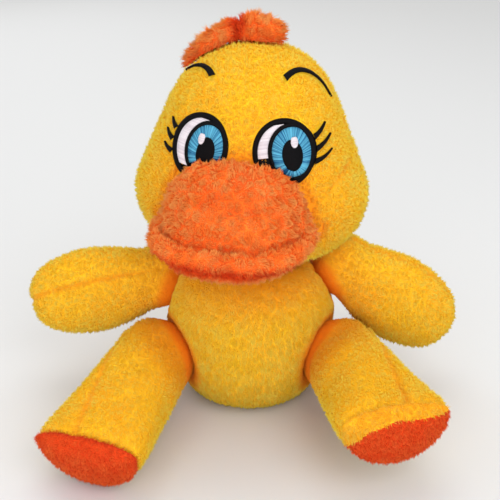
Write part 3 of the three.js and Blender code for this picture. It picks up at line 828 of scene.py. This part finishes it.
def face_at(x, z):
    """Where the face is at a place across and up in the head's own frame."""
    start = head_stand @ Vector((x, -0.2, z))
    found = face_tree.ray_cast(start, into_face)[0]
    return found or face_tree.find_nearest(head_stand @ Vector((x, -20 * MM, z)))[0]


def face_stand(x, z, wraps=False):
    """A drawing's stand on the face: its middle, its ways across and up, and whether it wraps."""
    across = (face_at(x + FACE_STEP, z) - face_at(x - FACE_STEP, z)).normalized()
    rising = (face_at(x, z + FACE_STEP) - face_at(x, z - FACE_STEP)).normalized()
    out = (head_stand.to_3x3().inverted() @ across.cross(rising)).normalized()
    level = Vector((-out.y, out.x, 0)).normalized()
    return head_stand.inverted() @ face_at(x, z), level, out.cross(level), wraps


def on_face(stand, right, up, lift):
    """A point of a drawing laid on the face, and the way out of the fabric there."""
    middle, level, rising, wraps = stand
    at = middle + level * right + rising * up
    if wraps:
        here, out = face_tree.find_nearest(head_stand @ at)[:2]
        return here + out * lift, out
    here = face_at(at.x, at.z)
    inward = -math.copysign(SLOPE_STEP, at.x)
    aside = (face_at(at.x + inward, at.z) - here) * math.copysign(1, inward)
    above = here - face_at(at.x, at.z - SLOPE_STEP)
    out = aside.cross(above).normalized()
    return here + out * lift, out


def leaned(x, y, lean):
    """A drawn point turned about the eye's middle."""
    return x * math.cos(lean) - y * math.sin(lean), x * math.sin(lean) + y * math.cos(lean)


def oval_point(oval, angle, grow=0.0):
    """A point on an oval, given as its middle, its half sizes and the eye's lean."""
    (middle_x, middle_y), (half_x, half_y), lean = oval
    x = middle_x + (half_x + grow) * math.cos(angle)
    y = middle_y + (half_y + grow) * math.sin(angle)
    return leaned(x, y, lean)


def hidden_by_bill(place, free):
    """Whether the bill covers a place on the face or comes nearer to it than free."""
    near = bill_ahead.find_nearest(place)[3] < free
    return near or bill_ahead.ray_cast(place, -into_face, BILL_LENGTH)[0] is not None


def build_stitch_tree():
    """Threads of satin stitch, each from its point along its run, lying flat on the fabric."""
    tree = new_tree("Satin stitch", {
        "Thread": "Object", "Width": "Float", "Height": "Float", "Seed": "Int",
        "Finish": "Material",
    })
    given = node(tree, "NodeGroupInput").outputs
    run = named(tree, "run", "FLOAT_VECTOR")
    lie = node(tree, "FunctionNodeAlignRotationToVector", {"Vector": run}, axis="X").outputs[0]
    lie = node(
        tree, "FunctionNodeAlignRotationToVector",
        {"Rotation": lie, "Vector": named(tree, "out", "FLOAT_VECTOR")}, axis="Z", pivot_axis="X",
    ).outputs[0]
    size = combined(tree, X=length_of(tree, run), Y=given["Width"], Z=given["Height"])
    laid = node(
        tree, "GeometryNodeInstanceOnPoints",
        {"Points": given["Geometry"], "Instance": shape_of(tree, given["Thread"], True),
         "Rotation": lie, "Scale": size},
    ).outputs[0]
    laid = store(tree, laid, "tone", any_number(tree, 0.0, 1.0, given["Seed"]))
    put_out(tree, realized(tree, laid), given["Finish"])
    return tree


def build_thread():
    """One laid thread: long in X, half round, its ends dipping into the fabric."""
    bm = bmesh.new()
    across = ((-0.5, 0.9), (-0.32, 0.15), (0, 0), (0.32, 0.15), (0.5, 0.9))
    rings = []
    for along, high, wide in (
        (0, -0.6, 0.7), (0.07, 0.55, 1), (0.5, 1, 1), (0.93, 0.55, 1), (1, -0.6, 0.7)
    ):
        rings.append([bm.verts.new((along, y * wide, high - drop)) for y, drop in across])
    for one, other in zip(rings, rings[1:]):
        for k in range(5):
            n = (k + 1) % 5
            bm.faces.new((one[k], one[n], other[n], other[k])).smooth = True
    bm.faces.new(rings[0][::-1])
    bm.faces.new(rings[-1])
    bmesh.ops.recalc_face_normals(bm, faces=bm.faces)
    return add_built("laid_thread", bm)


def thread_finish(name, dark, light):
    """Rayon embroidery thread: each thread a little different, with a soft shine."""
    made, tree = new_finish(name)
    colour = between(tree, kept_number(tree, "tone"), linear(*dark), linear(*light))
    put_on(tree, {"Base Color": colour, "Roughness": 0.55, "Specular IOR Level": 0.12})
    return made


stitch_tree = build_stitch_tree()
laid_thread = build_thread()
finishes.update(
    black_thread=thread_finish("black thread", (2, 1, 3), (7, 5, 9)),
    white_thread=thread_finish("white thread", (208, 198, 206), (232, 225, 231)),
    blue_thread=thread_finish("blue thread", (18, 84, 132), (100, 186, 216)),
)
stitched = []


def embroider(part, stand, runs, slot, seed, pad=None, free=BILL_FREE):
    """Lays threads along runs of two drawn points, over a flat pad, as one piece on the head."""
    starts, ways, outs = [], [], []
    for (x0, y0), (x1, y1), lift in runs:
        start, out = on_face(stand, x0, y0, lift)
        end, _ = on_face(stand, x1, y1, lift)
        if hidden_by_bill((start + end) / 2, free):
            continue
        starts.append(start)
        ways.append(end - start)
        outs.append(out)
        spots = 2 + int(ways[-1].length / MM)
        stitched.extend(start - out * lift + ways[-1] * (k / (spots - 1)) for k in range(spots))
    mesh = bpy.data.meshes.new(part + "_thread")
    mesh.from_pydata(starts, [], [])
    ob = add_object(part + "_thread", mesh)
    write(ob, "run", np.array(ways))
    write(ob, "out", np.array(outs))
    add_tree(ob, stitch_tree, {
        "Thread": laid_thread, "Width": THREAD_WIDTH, "Height": THREAD_HEIGHT, "Seed": seed,
        "Finish": finishes[slot],
    })
    settle(ob)
    if pad:
        bm = bmesh.new()
        bm.from_mesh(ob.data)
        rows = [[bm.verts.new(on_face(stand, *spot)[0]) for spot in row] for row in pad]
        for one, other in zip(rows, rows[1:]):
            for k in range(len(one)):
                n = (k + 1) % len(one)
                bm.faces.new((one[k], other[k], other[n], one[n])).smooth = True
        bm.faces.new(rows[0])
        bm.to_mesh(ob.data)
        bm.free()
    ob.data.materials.clear()
    ob.data.materials.append(finishes[slot])
    ob.data.polygons.foreach_set("material_index", [0] * len(ob.data.polygons))
    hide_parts(part)
    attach(ob, "head")


def oval_pad(oval, lift):
    """Rings of drawn points for a flat pad under an oval, its edge let into the fabric."""
    spin = [math.tau * k / PAD_CORNERS for k in range(PAD_CORNERS)]
    middle, half, lean = oval
    rings = []
    for part, rise in ((0.1, lift), (0.4, lift), (0.7, lift), (0.97, lift), (1.0, -1 * MM)):
        ring = (middle, (half[0] * part, half[1] * part), lean)
        rings.append([(*oval_point(ring, a), rise) for a in spin])
    return rings


def ring_runs(outer, inner, lift):
    """Stitches across the band between two ovals, a little aslant."""
    count = int(math.pi * sum(outer[1]) / THREAD_STEP)
    spin = [math.tau * k / count for k in range(count)]
    return [(oval_point(inner, a), oval_point(outer, a + RING_SLANT), lift) for a in spin]


def ray_runs(outer, inner, lift):
    """Stitches out from one oval to another, every other one longer and higher."""
    count = int(math.pi * sum(outer[1]) / THREAD_STEP * RAY_CROWD)
    runs = []
    for k in range(count):
        a = math.tau * k / count
        reach, rise = mm(0.5, 0.08) if k % 2 else mm(-0.2, 0)
        runs.append((oval_point(inner, a, -0.4 * MM), oval_point(outer, a, reach), lift + rise))
    return runs


def across_runs(oval, lift, cut=None):
    """Stitches across an oval, row by row, up to another oval that lies over it."""
    (mx, my), (hx, hy), lean = oval
    runs = []
    for k in range(int(2 * hy / THREAD_STEP)):
        y = -hy + (k + 0.5) * THREAD_STEP
        half = hx * math.sqrt(max(0, 1 - (y / hy) ** 2))
        left, right = mx - half, mx + half
        if cut:
            (cx, cy), (kx, ky), _ = cut
            depth = 1 - ((my + y - cy) / ky) ** 2
            if depth <= 0:
                continue
            right = min(right, cx - kx * math.sqrt(depth))
        if right - left > 0.3 * MM:
            runs.append((leaned(left, my + y, lean), leaned(right, my + y, lean), lift))
    return runs


def band_runs(path, width, lift):
    """Stitches across a tapering line drawn through three points."""
    (ax, ay), (bx, by), (cx, cy) = path
    long = math.hypot(cx - ax, cy - ay) * BAND_BOW
    count = int(long / THREAD_STEP * BAND_CROWD)
    runs = []
    for k in range(count):
        t = (k + 0.5) / count
        x = (1 - t) ** 2 * ax + 2 * t * (1 - t) * bx + t * t * cx
        y = (1 - t) ** 2 * ay + 2 * t * (1 - t) * by + t * t * cy
        dx = 2 * (1 - t) * (bx - ax) + 2 * t * (cx - bx)
        dy = 2 * (1 - t) * (by - ay) + 2 * t * (cy - by)
        far = math.hypot(dx, dy)
        half = width / 2 * (1 - BAND_TAPER * t)
        slant = BAND_SLANT * half
        runs.append((
            (x + dy / far * half - dx / far * slant, y - dx / far * half - dy / far * slant),
            (x - dy / far * half + dx / far * slant, y + dx / far * half + dy / far * slant), lift,
        ))
    return runs


def shrunk(half, by):
    """Half sizes made smaller all round."""
    return half[0] - by, half[1] - by


def heading(side, degrees):
    """A way across the face, mirrored for the right eye."""
    return Vector((side * math.cos(math.radians(degrees)), math.sin(math.radians(degrees))))


for label, side in (("left", 1), ("right", -1)):
    stand = face_stand(*EYE_AT[label])
    lean = side * EYE_LEAN
    eye = ((0, 0), EYE_HALF, lean)
    white = ((0, 0), shrunk(EYE_HALF, EYE_LINE), lean)
    rim = ((IRIS_ASIDE, 0), IRIS_HALF, lean)
    iris = ((IRIS_ASIDE, 0), shrunk(IRIS_HALF, IRIS_LINE), lean)
    pupil = ((IRIS_ASIDE, -PUPIL_DROP), PUPIL_HALF, lean)
    glint = (GLINT_AT[label], GLINT_HALF, lean)
    embroider(
        f"{label}_eye_outline", stand,
        ring_runs(eye, white, OUTLINE_LIFT) + ring_runs(rim, iris, RIM_LIFT),
        "black_thread", 31, oval_pad(eye, OUTLINE_PAD),
    )
    embroider(
        f"{label}_eye_white", stand, across_runs(white, THREAD_LIFT, rim), "white_thread", 32,
        free=WHITE_FREE,
    )
    embroider(
        f"{label}_eye_iris", stand, ray_runs(iris, pupil, THREAD_LIFT), "blue_thread", 33,
        oval_pad(iris, IRIS_PAD),
    )
    embroider(
        f"{label}_eye_pupil", stand, across_runs(pupil, PUPIL_LIFT), "black_thread", 34,
        oval_pad(pupil, PUPIL_PAD),
    )
    embroider(f"{label}_eye_glint", stand, across_runs(glint, GLINT_LIFT), "white_thread", 35)
    for place, root, aim, long in LASHES:
        start = Vector(oval_point(((0, 0), EYE_HALF, 0), math.radians(root)))
        start.x *= side
        half = long * LASH_SHARE[label] / 2
        bend = start + heading(side, aim - LASH_BEND) * half
        tip = bend + heading(side, aim + LASH_BEND) * half
        embroider(
            f"{label}_lash_{place}", stand, band_runs((start, bend, tip), LASH_WIDTH, LINE_LIFT),
            "black_thread", 36,
        )
    embroider(
        f"{label}_brow", face_stand(*BROW_AT[label], wraps=True),
        band_runs(BROW_PATH[label], BROW_WIDTH, LINE_LIFT), "black_thread", 37,
    )

sewn_points = add_object("sewn_points", bpy.data.meshes.new("sewn_points"))
sewn_points.data.from_pydata(stitched, [], [])
for k, panel in enumerate(HEAD_PANELS):
    grow_pile(
        panel.replace("panel", "pile"), head_skin, head_bare * (head_panel == k), "yellow_pile",
        21 + k, "head", clear_of=sewn_points, clear=PILE_FREE, Length=2.4 * MM, Lean=0.15,
    )


# Bill
# A stuffed upper bill of curly orange plush with a lip that a line of stitches sets off, and a
# flatter lower bill, both sewn to the face.
BILL_GRAIN = 2.6 * MM
BILL_SWELL = 1.5 * MM
BILL_SEW = 2.5 * MM
BILL_WAY = (0, -0.5, -0.8)
BILL_CLEAR = mm(0.8, 2.2)
BILL_FULL = mm(3, 8)
LIP_CREASE = 2.1 * MM
CREASE_DEPTH = mm(0.1, 0.2)
DEEPEST_FILL = 4 * MM
CREASE_ROUNDS, FILL_ROUNDS = 2, 14
UPPER_LUMPS = 0.8 * MM
LUMP_SIZE = 7 * MM
LUMP_CLEAR = mm(1, 5)
# Painted shade where an orange piece is sewn to the face, in the lip's crease and in the hollows
# between lumps.
SEWN_SHADE, CREASE_SHADE, HOLLOW_SHADE = 0.6, 0.5, 0.3
UNDER_REACH = mm(1, 6)
HOLLOW_REACH = (0.1, 0.7)
CREASE_NAP = 0.5
BILL_NAP = dict(
    Spacing=0.47 * MM, Length=3.0 * MM, Width=0.56 * MM, Lean=0.3, Sway=2.2, Stray=0.25,
    Tuft=1.5, Tuft_Size=4.6 * MM,
)
# The darker root and the crease colour are painted shade, the lighter tip is painted light.
finishes["orange_pile"] = plush(
    "orange plush", 0.1, (242, 84, 10), (255, 130, 42), (255, 174, 92), (230, 66, 6)
)
head_surface = surface_of(HEAD_PANELS)


def valley(ob, rounds):
    """How far each point of the skin lies below the skin smoothed that many rounds."""
    copy = add_object("even_copy", ob.data.copy())
    even_out(copy, rounds)
    even = places_of(copy)
    bpy.data.objects.remove(copy)
    return np.sum((even - places_of(ob)) * ways_out(ob), axis=1)


def orange_piece(name, nodes, beside, grain, seed, nap, crease=0.0, lumps=0.0, way=BILL_WAY):
    """A stuffed orange piece with its pile, filled out beside the stitches that divide it, with
    painted shade where it is sewn on, in its crease, against its neighbour and in its hollows.
    """
    skin = sewn_form(name + "_skin", nodes, grain, 2)
    gap = away_from(head_surface, places_of(skin))
    free = ramp(gap, *BILL_FULL)
    line = ramp(valley(skin, CREASE_ROUNDS), *CREASE_DEPTH) * free
    if crease:
        fill = np.clip(valley(skin, FILL_ROUNDS), 0, DEEPEST_FILL) * free
        move_to(skin, places_of(skin) + ways_out(skin) * fill[:, None])
    swell(skin, (gap < BILL_SEW) | (line > 0.5), BILL_SWELL)
    write(skin, "line", line)
    refine(skin)
    line = np.empty(len(skin.data.vertices), np.float32)
    skin.data.attributes["line"].data.foreach_get("value", line)
    places = places_of(skin)
    gap = away_from(head_surface, places)
    lift = lumps * rough(places, LUMP_SIZE, 4) * ramp(gap, *LUMP_CLEAR) - crease * line
    move_to(skin, places + ways_out(skin) * lift[:, None])
    # Painted shade where the piece is sewn on, along its crease, where it lies against its
    # neighbour and in the hollows between its lumps.
    shades = [
        SEWN_SHADE * nearness(gap, *UNDER_REACH), CREASE_SHADE * line,
        nearness(away_from(surface_of(beside), places_of(skin)), *UNDER_REACH),
    ]
    if lumps:
        shades.append(HOLLOW_SHADE * ramp(-lift / lumps, *HOLLOW_REACH))
    stuffed(skin, nodes, "head", "orange_pile", way, 1 - CREASE_NAP * line, *shades, fill=0.7)
    grow_pile(name + "_pile", skin, ramp(gap, *BILL_CLEAR), "orange_pile", seed, "head", **nap)


orange_piece(
    "upper_bill", ("upper_bill_cover", "bill_stuffing"), ("lower_bill",), BILL_GRAIN, 41, BILL_NAP,
    LIP_CREASE, UPPER_LUMPS,
)
orange_piece("lower_bill", ("lower_bill",), ("upper_bill_cover",), BILL_GRAIN, 42, BILL_NAP)


# Crest
# A folded strip of longer orange plush caught in the crown seam: one lobe stands, the other falls
# to the toy's right.
CREST_GRAIN = 2.2 * MM
CREST_CREASE = 0.5 * MM
CREST_LUMPS = 2.0 * MM
CREST_NAP = dict(BILL_NAP, Length=4.2 * MM, Lean=0.7, Tuft=1.6, Tuft_Size=5.2 * MM, Stray=0.4)
CREST_WAY = ((1, -0.3, 0.2), (-0.9, -0.3, -0.4))
for k, lobe in enumerate(CREST_NODES):
    orange_piece(
        lobe, (lobe,), (CREST_NODES[1 - k],), CREST_GRAIN, 44 + k, CREST_NAP, CREST_CREASE,
        CREST_LUMPS, CREST_WAY[k],
    )


# Arms
# A front and a back panel of yellow plush each, stuffed and closed in a round end, set into the
# side seams of the body.
ARM_GRAIN = 3.0 * MM
# Painted shade that spreads along the arm from the body.
ARM_BROAD_SHADE = 0.3
ARM_WAY = {"left": Vector((0.841, -0.059, -0.537)), "right": Vector((-0.979, -0.068, -0.191))}
LIMB_SWELL = 1.8 * MM
LIMB_SEAM_HOLD = 2.2 * MM
LIMB_SEAM_DEPTH = 1.4 * MM
LIMB_SEAM_WIDTH = 2.0 * MM
# Painted shade at the root of each limb, a fainter painted shade further along it, and painted
# shade on its seams.
ROOT_SHADE, ROOT_REACH = 0.85, mm(1, 12)
BROAD_SHADE_REACH = mm(4, 34)
LIMB_SEAM_SHADE = 0.35
LIMB_SEAM_NAP = (0.45, 2.6 * MM)
body_surface = surface_of(BODY_PANELS)


def limb_cover(label, kind, panels, grain, way, broad_shade, seed):
    """A stuffed limb's skin, its panels' nodes, the panel of each point and where pile can grow."""
    nodes = [f"{label}_{p}_panel" for p in panels]
    filling = f"{label}_{kind}_stuffing"
    skin = sewn_form(f"{label}_{kind}_skin", nodes + [filling], grain)
    places = places_of(skin)
    seam = panel_seams(places, nodes)[1]
    gap = away_from(body_surface, places)
    swell(skin, (seam < LIMB_SEAM_HOLD) | (gap < JOINT_HOLD), LIMB_SWELL)
    refine(skin)
    panel, seam = panel_seams(places_of(skin), nodes)
    draw_in(skin, seam, LIMB_SEAM_DEPTH, LIMB_SEAM_WIDTH, seed)
    gap = away_from(body_surface, places_of(skin))
    # Painted shade where the limb meets the body, spreading further along it, and along its seams.
    stuffed(
        skin, nodes + [filling], f"{label}_{kind}", "yellow_pile", way,
        seam_nap(seam, *LIMB_SEAM_NAP) * crushed(gap),
        ROOT_SHADE * nearness(gap, *ROOT_REACH),
        broad_shade * nearness(gap, *BROAD_SHADE_REACH),
        LIMB_SEAM_SHADE * bell(seam, SEAM_REACH),
        fill=0.75,
    )
    return skin, nodes, panel, ramp(gap, *PILE_CLEAR)


for label in ("left", "right"):
    skin, nodes, panel, bare = limb_cover(
        label, "arm", ("arm_front", "arm_back"), ARM_GRAIN, ARM_WAY[label], ARM_BROAD_SHADE, 7
    )
    for k, name in enumerate(nodes):
        grow_pile(
            name.replace("panel", "pile"), skin, bare * (panel == k), "yellow_pile", 51 + k,
            f"{label}_arm", Length=2.3 * MM, Lean=0.4,
        )


# Legs and soles
# An inner and an outer panel of yellow plush each, sewn into the body at the hip. A red-orange sole
# closes the foot and turns under it, and the left leg's plush laps over the top of its sole.
LEG_GRAIN = 3.2 * MM
# Painted shade that spreads along the leg from the body.
LEG_BROAD_SHADE = 0.5
LEG_WAY = {"left": Vector((0.227, -0.955, 0.191)), "right": Vector((-0.325, -0.945, -0.026))}
LEG_NAP = dict(Length=2.2 * MM, Lean=0.5)
SOLE_GRAIN = 1.8 * MM
SOLE_WAY = (0, -0.3, -1)
SOLE_NAP = dict(Length=2.0 * MM, Lean=0.4)
SOLE_TURN, TURN_WAVER, TURN_SIZE = mm(1.4, 2.6, 13)
# Painted shade on the sole beside the leg, and on the plush that laps over the sole.
SOLE_SHADE, SOLE_REACH = 0.5, mm(0.5, 4)
SOLE_CLEAR = mm(1.2, 2.2)
SOLE_LAP = {"left": (mm(48, 35), mm(58, 45.5), mm(70, 50), mm(98, 47.5))}
LAP_SHADE = 0.24
SHARP = mm(-0.3, 0.3)
# The darker root and the crease colour are painted shade, the lighter tip is painted light.
finishes["sole_pile"] = plush(
    "sole plush", 0.1, (198, 46, 4), (238, 78, 18), (250, 112, 46), (198, 46, 6)
)


def lapped(places, label):
    """1 where the leg's plush laps over the top of the sole, above the seam across the foot."""
    if label not in SOLE_LAP:
        return np.zeros(len(places))
    across, height = zip(*SOLE_LAP[label])
    return ramp(places[:, 2] - np.interp(places[:, 0], across, height), *SHARP)


for label in ("left", "right"):
    leg = f"{label}_leg"
    skin, nodes, panel, bare = limb_cover(
        label, "leg", ("leg_inner", "leg_outer"), LEG_GRAIN, LEG_WAY[label], LEG_BROAD_SHADE, 9
    )
    places = places_of(skin)
    sole_gap = away_from(surface_of((f"{label}_sole",)), places)
    turned_up = SOLE_TURN + TURN_WAVER * rough(places, TURN_SIZE, 8)
    turned_up = ramp(turned_up - sole_gap, *SHARP) * (1 - lapped(places, label))
    grow_pile(f"{label}_sole_edge_pile", skin, turned_up, "sole_pile", 73, leg, **SOLE_NAP)
    bare = bare * (1 - turned_up)
    for k, name in enumerate(nodes):
        grow_pile(
            name.replace("panel", "pile"), skin, bare * (panel == k), "yellow_pile", 61 + k, leg,
            **LEG_NAP,
        )
    sole = sewn_form(f"{label}_sole_skin", (f"{label}_sole",), SOLE_GRAIN, 2)
    refine(sole)
    places = places_of(sole)
    hem = lapped(places, label)
    # Painted shade on the sole beside the leg, and on the left leg's plush where it laps over the
    # sole.
    edge_shade = SOLE_SHADE * nearness(away_from(surface_of(nodes), places), *SOLE_REACH)
    stuffed(
        sole, (f"{label}_sole",), leg, "sole_pile", SOLE_WAY, 1.0,
        edge_shade * (1 - hem) + LAP_SHADE * hem, fill=0.6,
    )
    sole.data.materials.append(finishes["yellow_pile"])
    sole.data.polygons.foreach_set("material_index", [
        int(np.mean(hem[list(face.vertices)]) > 0.5) for face in sole.data.polygons
    ])
    under = ramp(away_from(surface_of((f"{label}_leg_stuffing",)), places), *SOLE_CLEAR)
    grow_pile(f"{label}_sole_pile", sole, under * (1 - hem), "sole_pile", 71, leg, **SOLE_NAP)
    if hem.any():
        grow_pile(f"{label}_leg_hem_pile", sole, under * hem, "yellow_pile", 72, leg, **LEG_NAP)


# Studio
# A plain pale floor, soft light from above and in front, and a camera at the photo's angle. The
# patterns of the strand and the thread are put away first.
FLOOR_HALF = 30
FLOOR_COLOUR = (0.74, 0.755, 0.77, 1)
SKY_COLOUR = (1.0, 0.98, 0.95, 1)
SKY_STRENGTH = 0.76
SOFT_BOXES = (
    ("key", (0.5, -0.9, 0.85), (0, 0, 0.09), 0.9, 5.6),
    ("fill", (-0.3, -1.1, 0.25), (0, 0, 0.09), 0.9, 5.8),
    ("top", (0, 0.2, 1.1), (0, 0, 0.1), 0.8, 2.4),
    ("back", (-0.5, 1.0, 0.7), (0, 0, 0.1), 0.9, 2.0),
)
CAMERA_AIM = Vector((0, -0.015, 0.095))
CAMERA_FAR = 0.52
CAMERA_RISE = math.radians(25)
CAMERA_WAY = Vector((0, -math.cos(CAMERA_RISE), math.sin(CAMERA_RISE)))
CAMERA_LENS = 68
for pattern in (spike, laid_thread, nothing_near, sewn_points):
    bpy.data.objects.remove(pattern)

floor_mesh = bpy.data.meshes.new("floor")
corners = ((-1, -1), (1, -1), (1, 1), (-1, 1))
floor_mesh.from_pydata(
    [(x * FLOOR_HALF, y * FLOOR_HALF, 0) for x, y in corners], [], [(0, 1, 2, 3)]
)
floor = add_object("floor", floor_mesh)
paper, paper_tree = new_finish("pale paper")
put_on(paper_tree, {"Base Color": FLOOR_COLOUR, "Roughness": 0.9})
floor_mesh.materials.append(paper)

world = bpy.data.worlds.new("studio")
bpy.context.scene.world = world
world.use_nodes = True
world.node_tree.nodes["Background"].inputs["Color"].default_value = SKY_COLOUR
world.node_tree.nodes["Background"].inputs["Strength"].default_value = SKY_STRENGTH

for name, at, aim, size, power in SOFT_BOXES:
    lamp = bpy.data.lights.new(name, "AREA")
    lamp.shape = "SQUARE"
    lamp.size = size
    lamp.energy = power
    box = add_object(name, lamp)
    box.location = at
    box.rotation_euler = (Vector(aim) - Vector(at)).to_track_quat("-Z", "Y").to_euler()

lens = bpy.data.cameras.new("camera")
lens.lens = CAMERA_LENS
lens.sensor_width = 36
camera = add_object("camera", lens)
camera.location = CAMERA_AIM + CAMERA_WAY * CAMERA_FAR
camera.rotation_euler = (CAMERA_AIM - camera.location).to_track_quat("-Z", "Y").to_euler()
bpy.context.scene.camera = camera
bpy.context.scene.view_settings.view_transform = "Standard"
